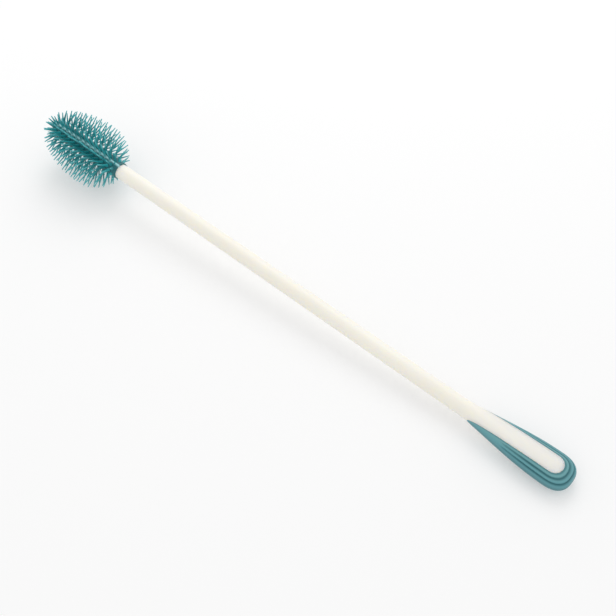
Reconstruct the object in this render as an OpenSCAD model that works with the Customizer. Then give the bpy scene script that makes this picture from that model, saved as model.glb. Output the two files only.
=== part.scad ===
// Long-handled silicone bottle brush, lying as it comes to rest on a flat surface.
// A round rod runs along X, with the bristle head at -X and the grip at +X.
// Z = 0 is the surface: two rows of bristles and the underside of the grip touch it.

/* [Handle] */
// Length of the whole brush, from the foremost bristle to the end of the grip
total_length = 369.7; // [320:0.1:420]
// Diameter of the round rod
rod_d = 9; // [8:0.1:9.4]
// Diameter of the spigot that the head is moulded on
spigot_d = 6.4; // [5:0.1:7]
// Length of the spigot inside the head
spigot_length = 42; // [30:1:46]

/* [Grip] */
// Width of the grip at its widest
grip_width = 20; // [18:0.2:24]
// Thickness of the grip at its thickest
grip_thickness = 11.2; // [10.4:0.2:14]
// Length over which the rod swells into the grip
flare_length = 49; // [49:1:60]
// Width of the hard tongue that shows on both faces
tongue_width = 9.9; // [9.6:0.1:11]
// Distance from the centre of the tongue's round end to the two points of the sleeve
point_length = 46.5; // [36:0.5:48]
// Distance from the centre of the tongue's round end to the end of the grip
end_length = 11.4; // [9:0.1:14]

/* [Grip rings] */
// Width of each groove between the rings
groove_width = 1.4; // [0.8:0.1:1.6]
// Depth of each groove
groove_depth = 0.65; // [0.2:0.05:0.9]
// Distance from the centre of the tongue's round end to where the grooves begin
groove_run = 27; // [16:1:34]

/* [Brush head] */
// Diameter across the longest bristles
head_d = 40.8; // [36:0.2:46]
// Length of the slim front part, from the foremost bristle to the longest ones
head_front = 40.8; // [34:0.1:46]
// Length of the full back part, from the longest bristles to the neck
head_back = 20.4; // [16:0.2:26]
// Diameter of the solid core that carries the bristles
core_d = 10.4; // [9.8:0.1:12]
// Bare end of the core next to the rod
neck_length = 1.8; // [1:0.1:4]
// Rows of bristles round the core
bristle_rows = 18; // [12:2:20]
// Spacing of the bristles along one row
bristle_pitch = 4.15; // [3.6:0.05:6]
// Bristle diameter at the core
bristle_root_d = 1.1; // [0.8:0.05:1.4]
// Bristle diameter at the tip
bristle_tip_d = 0.6; // [0.4:0.05:0.8]

/* [Hidden] */

rod_r = rod_d / 2;
spigot_r = spigot_d / 2;
grip_w = grip_width / 2;
grip_t = grip_thickness / 2;
tongue_r = tongue_width / 2;
core_r = core_d / 2;
head_r = head_d / 2;

// X positions, counted from the foremost bristle: neck end of the core, centre of the
// core's domed end, centre of the tongue's round end
dome_gap = 5;
neck_x = head_front + head_back + neck_length;
dome_x = dome_gap + core_r;
grip_x = total_length - end_length;

// Faceting of round surfaces and of the lofted grip
round_fn = 72;
core_fn = 36;
bristle_fn = 13;
flare_steps = 20;
end_step = 7.5;
arc_steps = 18;

// How far pieces of one moulding run into each other
weld = 0.5;

// ---- Placement ----

// Height of the brush's axis over the surface at the head, where two rows of bristles
// touch, and at the grip, and the lean between them
half_row = 180 / bristle_rows;
head_rest = head_r * cos(half_row) + bristle_tip_d / 2 * sin(half_row);
tilt = asin((head_rest - grip_t) / (grip_x - head_front));

module lay() {
    translate([-total_length / 2 * cos(tilt), 0, head_rest + head_front * sin(tilt)])
        rotate([0, tilt, 0])
            children();
}

// ---- Grip skin ----

// The rod swells into the grip through a row of ellipses. s is the distance back along the
// axis from the centre of the tongue's round end. Past that centre (s < 0) the grip ends as
// a flat dome whose outline is a superellipse. The skin starts a hair outside the rod, so
// that the rod's end is wholly inside it.
skin_r = rod_r + 0.03;
swell_power = 1.25;
end_power = 2.6;

function swell(s) = s < 0 ? 1 : pow(sin(90 * (1 - s / flare_length)), swell_power);
function ease(u) = u * u * (3 - 2 * u);
function taper(s) = s < 0 ? 1 : ease(1 - s / flare_length);
function half_w(s) = skin_r + (grip_w - skin_r) * swell(s);
function half_t(s) = skin_r + (grip_t - skin_r) * taper(s);

// Distance from that centre to the outline of the grip's end, at an angle from the axis
function end_reach(a) =
    1 / pow(pow(abs(cos(a)) / end_length, end_power) + pow(abs(sin(a)) / grip_w, end_power),
            1 / end_power);

// How far a point at s and y lies from the axis, as a share of the way to the outline
function out_share(s, y) = s < 0 ? norm([s, y]) / end_reach(atan2(y, -s)) : abs(y) / half_w(s);

function skin_z(s, y) = half_t(s) * sqrt(1 - pow(out_share(s, y), 2));

// Two triangles for each quad between ring k and ring k + 1 of a tube with m points a ring
function tube_faces(rings, m) = concat(
    [for (k = [0 : rings - 2], i = [0 : m - 1]) [k * m + i, k * m + (i + 1) % m, (k + 1) * m + i]],
    [for (k = [0 : rings - 2], i = [0 : m - 1])
        [k * m + (i + 1) % m, (k + 1) * m + (i + 1) % m, (k + 1) * m + i]],
    [[for (i = [m - 1 : -1 : 0]) i]],
    [[for (i = [0 : m - 1]) (rings - 1) * m + i]]
);

module loft(rings) {
    points = [for (ring = rings, p = ring) p];
    polyhedron(points, tube_faces(len(rings), len(rings[0])));
}

// ---- Handle ----

// Half width of the tongue at s: round at its end, running out into the sleeve's points
point_run = 6;
point_angle = 21;
function tongue_half(s) =
    s < 0 ? sqrt(tongue_r * tongue_r - s * s)
    : s > point_length ? half_w(s)
    : min(tongue_r, half_w(s) * cos(point_angle * min(1, (point_length - s) / point_run)));

// Stations along the grip, from the sleeve's points to the centre of the tongue's end
point_start = 1.5;
LEGS = [for (i = [0 : flare_steps]) (point_length - point_start) * (1 - i / flare_steps)];

// The tongue at s: the skin's upper and lower arcs, cut off flat at the tongue's sides. The
// arcs stop short of a full half turn where the tongue is as wide as the skin.
widest_arc = 88;
function tongue_ring(s, half) =
    let (edge = min(widest_arc, asin(min(1, half / half_w(s)))))
    [for (face = [1, -1], i = [0 : arc_steps])
        let (y = face * half_w(s) * sin(edge * (2 * i / arc_steps - 1)))
            [grip_x - s, y, face * skin_z(s, y)]];

// The round end closes with a sliver that keeps to the last facet of the sleeve's slot
tip_gap = 0.01;
module tongue() {
    stations = concat(
        [flare_length, point_length],
        LEGS,
        [for (a = [end_step : end_step : 90 - end_step]) -tongue_r * sin(a)]
    );
    loft(concat(
        [for (s = stations) tongue_ring(s, tongue_half(s))],
        [tongue_ring(tip_gap - tongue_r, tip_gap / tan(end_step / 2))]
    ));
}

// Pin that runs into the brush head, with a tapered tip
spigot_tip = 1.5;
module spigot() {
    rotate([0, 90, 0]) {
        translate([0, 0, neck_x - spigot_length + spigot_tip])
            cylinder(h = spigot_length - spigot_tip + weld, r = spigot_r, $fn = round_fn);
        translate([0, 0, neck_x - spigot_length])
            cylinder(h = spigot_tip, r1 = spigot_r - spigot_tip, r2 = spigot_r, $fn = round_fn);
    }
}

module rod() {
    rotate([0, 90, 0])
        translate([0, 0, neck_x])
            cylinder(h = grip_x - flare_length - neck_x + weld, r = rod_r, $fn = round_fn);
}

module handle() {
    color("#f5f0e4")
        lay() {
            spigot();
            rod();
            tongue();
        }
}

// ---- Grip sleeve ----

// Places on the upper half of the sleeve's section are shares of the way from the tongue's
// edge to the side of the grip, about ring_arc away
GROOVES = [0.285, 0.57];
ring_arc = 7.2;
// Across one groove: [place in groove widths, share of the groove's depth]
GROOVE_SHAPE = [[-0.5, 0], [-0.25, 0.5], [0, 1], [0.25, 0.5], [0.5, 0]];
// Rounded edge beside the tongue: [place, share of the groove's depth]
SEAM = [[0, 0.6], [0.04, 0.25], [0.09, 0]];
// Plain flank below the last groove
FLANK = [[0.76, 0], [0.88, 0]];
// Length over which the grooves reach their full depth
groove_fade = 5;

half_section = concat(
    SEAM,
    [for (place = GROOVES, g = GROOVE_SHAPE) [place + g[0] * groove_width / ring_arc, g[1]]],
    FLANK
);
section = concat(
    [for (q = half_section) [q[0], q[1], 1]],
    [[1, 0, 1]],
    [for (i = [len(half_section) - 1 : -1 : 0]) [half_section[i][0], half_section[i][1], -1]]
);

// One ring of the sleeve: section centre s, heading of the section in plan, reach to the side
function sleeve_ring(s, heading, reach) =
    let (edge = asin(tongue_half(s) / reach),
         depth = groove_depth * ease(max(0, min(1, (groove_run - s) / groove_fade))))
    [for (q = section)
        let (a = edge + (90 - edge) * q[0],
             // the wall beside the tongue stays upright where the edge is rounded
             out = (reach - (q[0] > 0 ? depth * q[1] : 0)) * sin(a),
             up = (half_t(s) - depth * q[1]) * cos(a))
            [grip_x - s + out * cos(heading), out * sin(heading), q[2] * up]];

module grip_sleeve() {
    color("#5f9ba0")
        lay()
            loft(concat(
                [for (i = [0 : flare_steps - 1]) sleeve_ring(LEGS[i], 90, half_w(LEGS[i]))],
                [for (a = [90 : -end_step : -90]) sleeve_ring(0, a, end_reach(a))],
                [for (i = [flare_steps - 1 : -1 : 0]) sleeve_ring(LEGS[i], -90, half_w(LEGS[i]))]
            ));
}

// ---- Brush head ----

// Bristles are left out where they would stand less than this out of the core
shortest_bristle = 1;
// Depth of a bristle's root inside the core
root_depth = 1;

// Radius of the envelope that the bristle tips reach, at x along the head
function tip_r(x) =
    let (half = x < head_front ? head_front : head_back)
    head_r * sqrt(max(0, 1 - pow((x - head_front) / half, 2)));

// Distance from the centre of the domed end to the envelope, along a line that leaves the
// axis at an angle: the root of the envelope's quadratic
function dome_reach(a) =
    let (m = (head_front - dome_x) / head_front,
         c = cos(a) / head_front,
         d = sin(a) / head_r,
         square = c * c + d * d)
    (sqrt(pow(c * m, 2) - square * (m * m - 1)) - c * m) / square;

// Bristle that leaves the core at x, leaning forward by an angle
module bristle(x, lean, turn, reach) {
    root = core_r - root_depth;
    rotate([turn, 0, 0])
        translate([x, 0, 0])
            rotate([0, -lean, 0])
                translate([0, 0, root])
                    cylinder(h = reach - root, d1 = bristle_root_d, d2 = bristle_tip_d,
                             $fn = bristle_fn);
}

// Straight rows along the core, every second row half a pitch further back
module bristle_field() {
    last_x = neck_x - neck_length - bristle_root_d;
    for (j = [0 : bristle_rows - 1])
        for (x = [dome_x + (j % 2) * bristle_pitch / 2 : bristle_pitch : last_x])
            if (tip_r(x) > core_r + shortest_bristle)
                bristle(x, 0, (j + 0.5) * 360 / bristle_rows, tip_r(x));
}

// Fans of bristles over the domed end: [lean forward, share of the number of rows]
FANS = [[23, 0.5], [46, 0.5], [69, 0.28]];

module dome_bristles() {
    for (k = [0 : len(FANS) - 1])
        let (lean = FANS[k][0], count = round(bristle_rows * FANS[k][1]))
            for (j = [0 : count - 1])
                bristle(dome_x, lean, (j + 0.5 + k / 2) * 360 / count, dome_reach(90 - lean));
    bristle(dome_x, 90, 0, dome_x);
}

// Solid core with a domed front and a bevelled neck
neck_bevel = 0.8;
module core() {
    translate([dome_x, 0, 0])
        sphere(r = core_r, $fn = core_fn);
    rotate([0, 90, 0]) {
        translate([0, 0, dome_x])
            cylinder(h = neck_x - neck_bevel - dome_x, r = core_r, $fn = core_fn);
        translate([0, 0, neck_x - neck_bevel])
            cylinder(h = neck_bevel, r1 = core_r, r2 = core_r - neck_bevel / 2, $fn = core_fn);
    }
}

module brush_head() {
    color("#4f9aa0")
        lay() {
            difference() {
                core();
                spigot();
            }
            bristle_field();
            dome_bristles();
        }
}

handle();
grip_sleeve();
brush_head();
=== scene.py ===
import math
import random

import bpy
import numpy as np
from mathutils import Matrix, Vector


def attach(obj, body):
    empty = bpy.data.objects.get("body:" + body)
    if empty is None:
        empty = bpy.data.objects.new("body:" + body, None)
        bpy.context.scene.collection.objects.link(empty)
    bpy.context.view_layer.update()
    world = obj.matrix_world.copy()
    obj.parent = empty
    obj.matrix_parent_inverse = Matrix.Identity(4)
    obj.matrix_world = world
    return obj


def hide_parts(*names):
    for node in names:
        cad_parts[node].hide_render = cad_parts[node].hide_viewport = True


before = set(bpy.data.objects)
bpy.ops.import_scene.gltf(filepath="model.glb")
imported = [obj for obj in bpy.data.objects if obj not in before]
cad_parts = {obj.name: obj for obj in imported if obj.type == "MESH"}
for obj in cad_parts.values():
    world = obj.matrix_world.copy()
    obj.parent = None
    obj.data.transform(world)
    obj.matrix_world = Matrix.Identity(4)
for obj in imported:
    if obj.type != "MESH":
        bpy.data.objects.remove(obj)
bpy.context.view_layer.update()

# ---------------------------------------------------------------- sizes, in mm and degrees
TOTAL = 369.7           # foremost bristle to the end of the grip
ROD_R = 4.5
SKIN_R = 4.53           # the grip's skin where it leaves the rod

# the grip: half width and half thickness, length of its flare, and reach of its round end
GRIP_W = 10.0
GRIP_T = 5.6
FLARE = 49.0
END = 11.4
SWELL_POWER = 1.25
END_POWER = 2.6

# the tongue: its half width, and where and at what angle the sleeve's points start beside it
TONGUE_R = 4.95
TONGUE_WIDEST = 88
POINT = 46.5
POINT_RUN = 6.0
POINT_ANGLE = 21.0
POINT_TRIM = 1.5

# the sleeve's grooves, placed as shares of the way from the tongue's edge to the side
GROOVES = (0.285, 0.57)
GROOVE_W = 1.4
GROOVE_D = 0.65
GROOVE_RUN = 27.0
GROOVE_FADE = 5.0
GROOVE_REACH = 0.62     # half of a groove's section, as a share of its width
RING_ARC = 7.2
# painted shade in the grooves:
SHADE_FADE = 18.0       # the grooves' darker colour fades in over a longer way than they do

# the rounded edge beside the tongue: its depth as a share of a groove's, its width, and the strength of
# the painted shadow along it
SEAM_DEPTH = 0.6
SEAM_SHARE = 0.09
SEAM_SHADE = 0.8

# the head: its half width, the half lengths of its envelope, and its core
HEAD_R = 20.4
FRONT = 40.8
BACK = 20.4
CORE_R = 5.2
CORE_BEVEL = 0.8
CORE_LIP = 0.3          # the core's end face starts this far inside the rod's surface
NECK = 1.8
DOME_GAP = 5.0

# the bristles: straight rows, and fans over the dome as (forward lean, bristles per row)
ROWS = 18
PITCH = 4.15
FANS = ((23, 0.5), (46, 0.5), (69, 0.28))
SHORTEST = 1.0
LAST_ROOT = 1.0         # from the rearmost root to the neck
ROOT_R = 0.55
TIP_R = 0.3
ROOT_IN = 0.5           # how deep the root sits in the core
ROOT_FLARE = 0.55
FLARE_RUN = 1.4
FLARE_CLEAR = 1.5       # the root's flare dies away over this length below the tip
ROOT_STEPS = (0, 0.5, 0.8, 1.15, 1.6, 2.2, 3.0)
SHORT = 8.0
SHAFT_FROM = 4.0
BEND = 0.022            # spread of a bristle's own set, in mm for each mm that it is long
SAG = 0.0012

# the mould's parting line along two opposite rows: height, half width, and how far its painted highlight
# reaches up the bristles
PARTING_RISE = 1.0
PARTING_HALF = 0.6
PARTING_FADE = 0.32

NECK_X = FRONT + BACK + NECK
DOME_X = DOME_GAP + CORE_R
GRIP_X = TOTAL - END

# ---------------------------------------------------------------- how finely the meshes are cut
ROD_STEPS = 40
FLARE_STEPS = 70
TONGUE_POINTS = 40
LEG_STEPS = 90
CORE_SIDES = 160
CORE_STEPS = 40
SHAFT_STEPS = 6
BRISTLE_SIDES = 10
TIP_ANGLES = (28, 52, 74, 88)

# ---------------------------------------------------------------- placement
HALF_ROW = math.radians(180 / ROWS)
HEAD_REST = HEAD_R * math.cos(HALF_ROW) + TIP_R * math.sin(HALF_ROW)
TILT = math.asin((HEAD_REST - GRIP_T) / (GRIP_X - FRONT))
LIFT = HEAD_REST + FRONT * math.sin(TILT)
LOWEST = 0.02           # no bristle reaches below this height over the floor


def lay(p):
    """Brush points in mm, x from the foremost bristle, to the part's frame in metres."""
    p = np.asarray(p, float)
    c, s = math.cos(TILT), math.sin(TILT)
    x, y, z = p[:, 0], p[:, 1], p[:, 2]
    return np.stack([x * c + z * s - TOTAL / 2 * c, y, -x * s + z * c + LIFT], 1) / 1000


# ---------------------------------------------------------------- meshes
def add_values(ob, name, values):
    ob.data.attributes.new(name, "FLOAT", "POINT").data.foreach_set("value", values)


def add_mesh(name, points, faces, sharp=35):
    me = bpy.data.meshes.new(name)
    me.from_pydata(lay(points).tolist(), [], faces)
    me.validate()
    me.shade_smooth()
    me.set_sharp_from_angle(angle=math.radians(sharp))
    ob = bpy.data.objects.new(name, me)
    bpy.context.collection.objects.link(ob)
    return ob


def tube(rings):
    """Faces of a closed tube over rings of m points each, facing outwards."""
    m = len(rings[0])
    faces = []
    for k in range(len(rings) - 1):
        for i in range(m):
            j = (i + 1) % m
            faces.append((k * m + i, (k + 1) * m + i, (k + 1) * m + j, k * m + j))
    faces.append(tuple(range(m)))
    faces.append(tuple(len(rings) * m - 1 - i for i in range(m)))
    return faces


# ---------------------------------------------------------------- grip skin
# s is the distance back along the axis from the centre of the tongue's round end
def ease(u):
    u = min(1.0, max(0.0, u))
    return u * u * (3 - 2 * u)


def half_w(s):
    swell = 1.0 if s < 0 else math.sin(math.pi / 2 * max(0.0, 1 - s / FLARE)) ** SWELL_POWER
    return SKIN_R + (GRIP_W - SKIN_R) * swell


def half_t(s):
    return SKIN_R + (GRIP_T - SKIN_R) * (1.0 if s < 0 else ease(1 - s / FLARE))


def end_reach(a):
    """Reach of the grip's round end from its centre, at the angle a from the axis."""
    c, d = abs(math.cos(a)) / END, abs(math.sin(a)) / GRIP_W
    return (c ** END_POWER + d ** END_POWER) ** (-1 / END_POWER)


def skin_z(s, y):
    share = math.hypot(s, y) / end_reach(math.atan2(y, -s)) if s < 0 else abs(y) / half_w(s)
    return half_t(s) * math.sqrt(max(0.0, 1 - share * share))


def tongue_half(s):
    if s < 0:
        return math.sqrt(max(0.0, TONGUE_R ** 2 - s * s))
    if s > POINT:
        return half_w(s)
    angle = POINT_ANGLE * min(1.0, (POINT - s) / POINT_RUN)
    return min(TONGUE_R, half_w(s) * math.cos(math.radians(angle)))


def handle_ring(x):
    s = GRIP_X - x
    w = half_w(s)
    edge = min(math.radians(TONGUE_WIDEST), math.asin(min(1.0, tongue_half(s) / w)))
    ring = []
    for face in (1, -1):
        for i in range(TONGUE_POINTS + 1):
            y = face * w * math.sin(edge * (2 * i / TONGUE_POINTS - 1))
            ring.append((x, y, face * skin_z(s, y)))
    return ring


def make_handle():
    """The rod from inside the head's neck, the flare, and the tongue's round end."""
    xs = list(np.linspace(NECK_X - 4, GRIP_X - FLARE, ROD_STEPS))
    xs += [GRIP_X - s for s in np.linspace(FLARE, 0, FLARE_STEPS)[1:]]
    xs += [GRIP_X + TONGUE_R * math.sin(math.radians(a)) for a in np.arange(3, 89, 3)]
    rings = [handle_ring(x) for x in xs]
    return add_mesh("handle_body", [p for r in rings for p in r], tube(rings))


# ---------------------------------------------------------------- sleeve
def sleeve_section():
    """Shares of the way from the tongue's edge to the side, close together in the grooves."""
    v = set(np.linspace(0, 1, 27).tolist() + np.linspace(0, SEAM_SHARE, 7).tolist())
    for g in GROOVES:
        v.update(g + k / 20 * GROOVE_W / RING_ARC for k in range(-13, 14))
    return sorted(v)


SECTION = sleeve_section()


def section_cut(v):
    """Depth cut out of the skin, as a share of the grooves' depth."""
    for g in GROOVES:
        x = (v - g) * RING_ARC / GROOVE_W
        if abs(x) < GROOVE_REACH:
            return 0.5 + 0.5 * math.cos(math.pi * x / GROOVE_REACH)
    return SEAM_DEPTH * (1 - v / SEAM_SHARE) ** 2 if v < SEAM_SHARE else 0.0


def section_shade(v, s):
    """How dark the painted shade is at v: in the grooves, and as a painted shadow in the narrow seam
    beside the tongue.
    """
    if v < 2 * SEAM_SHARE:
        return SEAM_SHADE * math.exp(-((v - 0.6 * SEAM_SHARE) / (0.4 * SEAM_SHARE)) ** 2)
    return section_cut(v) * ease((GROOVE_RUN - s) / SHADE_FADE)


def sleeve_ring(s, heading, reach):
    """One section of the sleeve, cut across it at s in the direction of heading."""
    edge = math.asin(min(1.0, tongue_half(s) / reach))
    run = ease((GROOVE_RUN - s) / GROOVE_FADE)
    top, bottom, shade = [], [], []
    for v in SECTION:
        a = edge + (math.pi / 2 - edge) * v
        cut = GROOVE_D * run * section_cut(v)
        r = (reach - (cut if v > 0 else 0)) * math.sin(a)
        z = (half_t(s) - cut) * math.cos(a)
        x, y = GRIP_X - s + r * math.cos(heading), r * math.sin(heading)
        top.append((x, y, z))
        bottom.append((x, y, -z))
        shade.append(section_shade(v, s))
    return top + bottom[-2::-1], shade + shade[-2::-1]


def make_sleeve():
    """A horseshoe: one leg, the round end in steps of 2.5 degrees, and the other leg."""
    legs = np.linspace(POINT - POINT_TRIM, 0, LEG_STEPS)
    rings = [sleeve_ring(s, math.pi / 2, half_w(s)) for s in legs[:-1]]
    rings += [sleeve_ring(0, a, end_reach(a)) for a in np.radians(np.arange(90, -90.1, -2.5))]
    rings += [sleeve_ring(s, -math.pi / 2, half_w(s)) for s in legs[:-1][::-1]]
    ob = add_mesh("grip_rings", [p for r, _ in rings for p in r], tube([r for r, _ in rings]), 50)
    # painted shade in the grooves and painted shadow in the seam beside the tongue
    add_values(ob, "groove", [v for _, shade in rings for v in shade])
    add_values(ob, "side", (SECTION + SECTION[-2::-1]) * len(rings))
    return ob


# ---------------------------------------------------------------- brush head
def core_profile():
    """(x, radius) of the core: dome, straight wall, bevel and end face."""
    profile = []
    for a in np.radians(np.arange(2, 91, 4)):
        profile.append((DOME_X - CORE_R * math.cos(a), CORE_R * math.sin(a)))
    bevel_x, bevel_r = NECK_X - CORE_BEVEL, CORE_R - CORE_BEVEL / 2
    profile += [(x, CORE_R) for x in np.linspace(DOME_X + 1, bevel_x, CORE_STEPS)]
    for a in np.radians(np.arange(15, 91, 15)):
        profile.append((bevel_x + CORE_BEVEL * math.sin(a), bevel_r + CORE_BEVEL / 2 * math.cos(a)))
    return profile + [(NECK_X, ROD_R - CORE_LIP)]


def make_core():
    """Points and faces of the core, and how near each point is to the parting line, which weights its
    painted highlight.
    """
    rings, parting = [], []
    for x, r in core_profile():
        ring = []
        for i in range(CORE_SIDES):
            t = 2 * math.pi * i / CORE_SIDES
            off = (t + HALF_ROW) % math.pi
            off = min(off, math.pi - off) * r / PARTING_HALF
            line = math.exp(-off ** 2) * min(1.0, r / 2)
            out = r + PARTING_RISE * line
            ring.append((x, out * math.sin(t), out * math.cos(t)))
            parting.append(line)
        rings.append(ring)
    return [p for r in rings for p in r], tube(rings), parting


def tip_reach(x):
    half = FRONT if x < FRONT else BACK
    return HEAD_R * math.sqrt(max(0.0, 1 - ((x - FRONT) / half) ** 2))


def dome_reach(a):
    """From the dome's centre to the envelope, at the angle a from the axis."""
    m, c, d = FRONT - DOME_X, math.cos(a) / FRONT, math.sin(a) / HEAD_R
    qa, qb, qc = c * c + d * d, 2 * c * m / FRONT, (m / FRONT) ** 2 - 1
    return (-qb + math.sqrt(qb * qb - 4 * qa * qc)) / (2 * qa)


def bristle_list():
    """(x on the axis, forward lean, turn round the axis, reach from the axis point)."""
    out = []
    for j in range(ROWS):
        x = DOME_X + (j % 2) * PITCH / 2
        while x <= NECK_X - NECK - LAST_ROOT + 1e-6:
            if tip_reach(x) > CORE_R + SHORTEST:
                out.append((x, 0.0, (j + 0.5) * 360 / ROWS, tip_reach(x)))
            x += PITCH
    for k, (lean, share) in enumerate(FANS):
        count = round(ROWS * share)
        reach = dome_reach(math.radians(90 - lean))
        for j in range(count):
            out.append((DOME_X, float(lean), (j + 0.5 + k / 2) * 360 / count, reach))
    out.append((DOME_X, 90.0, 0.0, DOME_X))
    return out


def bristle_radius(d, length):
    """Radius at d from the root's end: a slim cone with a round tip and a flared root."""
    r = ROOT_R + (TIP_R - ROOT_R) * (d / length)
    if d > length - TIP_R:
        q = (d - (length - TIP_R)) / TIP_R
        r = TIP_R * math.sqrt(max(0.0, 1 - q * q))
    fade = min(1.0, (length - d) / FLARE_CLEAR)
    return r + ROOT_FLARE * math.exp(-max(0.0, d - ROOT_IN) / FLARE_RUN) * fade


def bristle_steps(length):
    steps = [d for d in ROOT_STEPS if d < length / 2]
    shaft = length / 2 if length < SHORT else SHAFT_FROM
    steps += list(np.linspace(shaft, length - TIP_R * 0.9, SHAFT_STEPS))
    return steps + [length - TIP_R * (1 - math.sin(math.radians(b))) for b in TIP_ANGLES]


def bristle(x, lean, turn, reach, rng):
    """Rings of one bristle with a slight set of its own, and how far along it each one is."""
    a, t = math.radians(lean), math.radians(turn)
    up = np.array([-math.sin(a), -math.cos(a) * math.sin(t), math.cos(a) * math.cos(t)])
    side = np.cross(up, (1.0, 0.0, 0.0))
    if np.linalg.norm(side) > 1e-6:
        side = side / np.linalg.norm(side)
    else:
        side = np.array([0.0, 1.0, 0.0])
    other = np.cross(side, up)
    start = CORE_R - ROOT_IN
    length = reach - start
    free = max(0.1, reach - CORE_R)
    bend = rng.gauss(0, BEND) * free * side + rng.gauss(0, BEND) * free * other
    bend = bend + np.array([0, 0, -SAG]) * free * free * math.cos(a)
    rings, along = [], []
    for d in bristle_steps(length):
        r = bristle_radius(d, length)
        share = max(0.0, d - ROOT_IN) / (length - ROOT_IN)
        centre = np.array([x, 0, 0]) + up * (start + d) + bend * share ** 2
        ring = []
        for i in range(BRISTLE_SIDES):
            b = 2 * math.pi * i / BRISTLE_SIDES
            ring.append(tuple(centre + r * (math.cos(b) * side + math.sin(b) * other)))
        rings.append(ring)
        along.append(d / length)
    return rings, along


def above_floor(points):
    c, s = math.cos(TILT), math.sin(TILT)
    out = []
    for x, y, z in points:
        height = -x * s + z * c + LIFT
        out.append((x, y, z + (LOWEST - height) / c) if height < LOWEST else (x, y, z))
    return out


def make_head():
    rng = random.Random(41)
    points, faces, seam = make_core()
    along = [0.0] * len(points)
    tint = [0.5] * len(points)
    for x, lean, turn, reach in bristle_list():
        rings, shares = bristle(x, lean, turn, reach, rng)
        first = len(points)
        one = rng.random()
        on_parting = abs(math.sin(math.radians(turn) - HALF_ROW)) < 0.01
        for ring, u in zip(rings, shares):
            points += ring
            along += [u] * len(ring)
            tint += [one] * len(ring)
            # the parting line's painted highlight reaches a little way up the bristles of its two rows
            seam += [max(0.0, 1 - u / PARTING_FADE) if on_parting else 0.0] * len(ring)
        faces += [tuple(i + first for i in f) for f in tube(rings)]
    ob = add_mesh("bristle_head", above_floor(points), faces, 50)
    add_values(ob, "along", along)
    add_values(ob, "tint", tint)
    add_values(ob, "seam", seam)
    return ob


# ---------------------------------------------------------------- materials
def material(name):
    m = bpy.data.materials.new(name)
    m.use_nodes = True
    nt = m.node_tree
    return m, nt, nt.nodes["Principled BSDF"]


def noise(nt, where, scale, detail=4.0, rough=0.55):
    n = nt.nodes.new("ShaderNodeTexNoise")
    n.inputs["Scale"].default_value = scale
    n.inputs["Detail"].default_value = detail
    n.inputs["Roughness"].default_value = rough
    nt.links.new(where, n.inputs["Vector"])
    return n.outputs["Fac"]


def ramp(nt, fac, stops):
    """stops: (position, colour) or (position, grey value)."""
    r = nt.nodes.new("ShaderNodeValToRGB")
    els = r.color_ramp.elements
    while len(els) < len(stops):
        els.new(0.5)
    for e, (pos, col) in zip(els, stops):
        e.position = pos
        e.color = (*col, 1) if isinstance(col, tuple) else (col, col, col, 1)
    nt.links.new(fac, r.inputs["Fac"])
    return r.outputs["Color"]


def bump(nt, bsdf, parts):
    """parts: (height socket, strength, distance) laid over each other."""
    last = None
    for height, strength, distance in parts:
        b = nt.nodes.new("ShaderNodeBump")
        b.inputs["Strength"].default_value = strength
        b.inputs["Distance"].default_value = distance
        nt.links.new(height, b.inputs["Height"])
        if last is not None:
            nt.links.new(last, b.inputs["Normal"])
        last = b.outputs["Normal"]
    nt.links.new(last, bsdf.inputs["Normal"])


def coords(nt):
    return nt.nodes.new("ShaderNodeTexCoord").outputs["Object"]


def value(nt, name):
    at = nt.nodes.new("ShaderNodeAttribute")
    at.attribute_name = name
    return at.outputs["Fac"]


def maths(nt, kind, a, b, c=None):
    n = nt.nodes.new("ShaderNodeMath")
    n.operation = kind
    for k, v in enumerate((a, b, c)):
        if isinstance(v, (int, float)):
            n.inputs[k].default_value = v
        elif v is not None:
            nt.links.new(v, n.inputs[k])
    return n.outputs[0]


def blend(nt, fac, a, b, kind="MIX"):
    n = nt.nodes.new("ShaderNodeMix")
    n.data_type = "RGBA"
    n.blend_type = kind
    for k, v in ((0, fac), (6, a), (7, b)):
        if isinstance(v, tuple):
            n.inputs[k].default_value = (*v, 1)
        elif isinstance(v, (int, float)):
            n.inputs[k].default_value = v
        else:
            nt.links.new(v, n.inputs[k])
    return n.outputs[2]


def scatter(bsdf, weight, radius):
    """Light scattered inside the material, with radius in metres for red, green and blue."""
    bsdf.inputs["Subsurface Weight"].default_value = weight
    bsdf.inputs["Subsurface Radius"].default_value = radius
    bsdf.inputs["Subsurface Scale"].default_value = 1.0


def handle_material():
    m, nt, b = material("cream_plastic")
    co = coords(nt)
    broad = noise(nt, co, 22, 3)
    fine = noise(nt, co, 900, 5, 0.6)
    cream = ramp(nt, broad, [(0.35, (0.892, 0.862, 0.788)), (0.65, (0.914, 0.885, 0.814))])
    nt.links.new(cream, b.inputs["Base Color"])
    nt.links.new(ramp(nt, fine, [(0.3, 0.46), (0.7, 0.54)]), b.inputs["Roughness"])
    b.inputs["IOR"].default_value = 1.49
    scatter(b, 0.7, (0.006, 0.0055, 0.0042))
    bump(nt, b, [(fine, 0.05, 0.00004), (broad, 0.04, 0.0002)])
    return m


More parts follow.
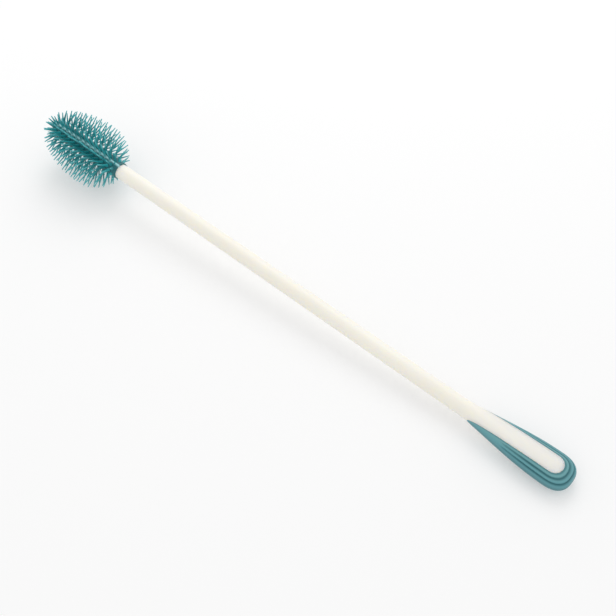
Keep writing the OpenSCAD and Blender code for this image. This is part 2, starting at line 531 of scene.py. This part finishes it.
def sleeve_material():
    m, nt, b = material("teal_elastomer")
    co = coords(nt)
    broad = noise(nt, co, 30, 3)
    grain = noise(nt, co, 1600, 4, 0.7)
    # painted light and shade: the rings are paler next to the tongue, where they face up to the light,
    # and darker down the flanks
    skin = ramp(nt, value(nt, "side"), [(0.0, (0.160, 0.385, 0.405)), (0.28, (0.145, 0.375, 0.402)),
                                        (0.45, (0.122, 0.352, 0.390)), (0.72, (0.114, 0.325, 0.365)),
                                        (0.90, (0.085, 0.250, 0.285)), (1.0, (0.075, 0.225, 0.258))])
    mottle = ramp(nt, broad, [(0.3, 0.96), (0.7, 1.0)])
    skin = blend(nt, 1.0, skin, mottle, "MULTIPLY")
    # painted shade in the grooves and painted shadow beside the tongue, fading in along the grip
    painted_shade = maths(nt, "MULTIPLY", value(nt, "groove"), 0.88)
    nt.links.new(blend(nt, painted_shade, skin, (0.014, 0.125, 0.150)), b.inputs["Base Color"])
    nt.links.new(ramp(nt, grain, [(0.3, 0.36), (0.7, 0.50)]), b.inputs["Roughness"])
    b.inputs["IOR"].default_value = 1.47
    bump(nt, b, [(grain, 0.18, 0.00005)])
    return m


def head_material():
    m, nt, b = material("teal_silicone")
    co = coords(nt)
    broad = noise(nt, co, 60, 3)
    grain = noise(nt, co, 1100, 4, 0.6)
    along = value(nt, "along")
    # each bristle has its own tint; painted shade darkens the core and each root, and painted light makes
    # each tip pale
    mixed = maths(nt, "MULTIPLY_ADD", broad, 0.4, maths(nt, "MULTIPLY", value(nt, "tint"), 0.6))
    body = ramp(nt, mixed, [(0.15, (0.006, 0.200, 0.222)), (0.85, (0.030, 0.400, 0.430))])
    painted_shade = ramp(nt, along, [(0.0, 0.85), (0.10, 0.0)])
    tip = ramp(nt, along, [(0.45, 0.0), (1.0, 0.70)])
    colour = blend(nt, tip, blend(nt, painted_shade, body, (0.002, 0.095, 0.110)), (0.170, 0.600, 0.630))
    # painted highlight along the parting line on the core and up the roots of its two rows
    colour = blend(nt, value(nt, "seam"), colour, (0.400, 0.760, 0.790))
    nt.links.new(colour, b.inputs["Base Color"])
    nt.links.new(ramp(nt, grain, [(0.3, 0.24), (0.7, 0.34)]), b.inputs["Roughness"])
    b.inputs["IOR"].default_value = 1.47
    scatter(b, 0.08, (0.0006, 0.0014, 0.0015))
    bump(nt, b, [(grain, 0.10, 0.00005)])
    return m


def floor_material():
    """A pale floor that takes the shadow and is seen, also in reflections, as near white."""
    m, nt, b = material("floor")
    path = nt.nodes.new("ShaderNodeLightPath")
    seen = maths(nt, "MAXIMUM", path.outputs["Is Camera Ray"],
                 maths(nt, "MAXIMUM", path.outputs["Is Glossy Ray"], path.outputs["Is Transmission Ray"]))
    nt.links.new(blend(nt, seen, (0.93, 0.93, 0.93), (0.97, 0.97, 0.97)), b.inputs["Base Color"])
    b.inputs["Roughness"].default_value = 0.9
    b.inputs["Specular IOR Level"].default_value = 0.0
    glow = nt.nodes.new("ShaderNodeEmission")
    glow.inputs["Strength"].default_value = 1.0
    paper = nt.nodes.new("ShaderNodeMixShader")
    nt.links.new(maths(nt, "MULTIPLY", seen, 0.3), paper.inputs[0])
    nt.links.new(b.outputs[0], paper.inputs[1])
    nt.links.new(glow.outputs[0], paper.inputs[2])
    nt.links.new(paper.outputs[0], nt.nodes["Material Output"].inputs["Surface"])
    return m


def paint(ob, mat):
    ob.data.materials.clear()
    ob.data.materials.append(mat)


# ---------------------------------------------------------------- object
handle = make_handle()
paint(handle, handle_material())
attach(handle, "root")
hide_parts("handle")

sleeve = make_sleeve()
paint(sleeve, sleeve_material())
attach(sleeve, "root")
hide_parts("grip_sleeve")

head = make_head()
paint(head, head_material())
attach(head, "root")
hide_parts("brush_head")

# ---------------------------------------------------------------- stage, in metres
FLOOR_HALF = 4
FLOOR_Z = -0.0004
KEY_PLACE = (-0.45, 0.70, 0.88)
KEY_SIZE = 0.8
KEY_POWER = 3.4
SKY = 0.84
CAMERA_PLACE = (0.20870, -0.22382, 0.38423)
CAMERA_TURN = (37.550, 0.061, 39.660)
LENS = 51.4

floor_mesh = bpy.data.meshes.new("floor")
corners = [(x * FLOOR_HALF, y * FLOOR_HALF, FLOOR_Z) for x, y in ((-1, -1), (1, -1), (1, 1), (-1, 1))]
floor_mesh.from_pydata(corners, [], [(0, 1, 2, 3)])
floor = bpy.data.objects.new("floor", floor_mesh)
bpy.context.collection.objects.link(floor)
paint(floor, floor_material())

world = bpy.data.worlds.new("studio")
bpy.context.scene.world = world
world.use_nodes = True
world.node_tree.nodes["Background"].inputs["Color"].default_value = (1, 1, 1, 1)
world.node_tree.nodes["Background"].inputs["Strength"].default_value = SKY

key_data = bpy.data.lights.new("key", "AREA")
key_data.shape = "DISK"
key_data.size = KEY_SIZE
key_data.energy = KEY_POWER
key = bpy.data.objects.new("key", key_data)
bpy.context.collection.objects.link(key)
key.location = KEY_PLACE
key.rotation_euler = (-Vector(KEY_PLACE)).to_track_quat("-Z", "Y").to_euler()

cam = bpy.data.cameras.new("photo")
cam.sensor_width = 36
cam.lens = LENS
cam.clip_start = 0.01
camera = bpy.data.objects.new("photo", cam)
bpy.context.collection.objects.link(camera)
camera.location = CAMERA_PLACE
camera.rotation_euler = [math.radians(v) for v in CAMERA_TURN]
bpy.context.scene.camera = camera
bpy.context.scene.view_settings.view_transform = "Standard"
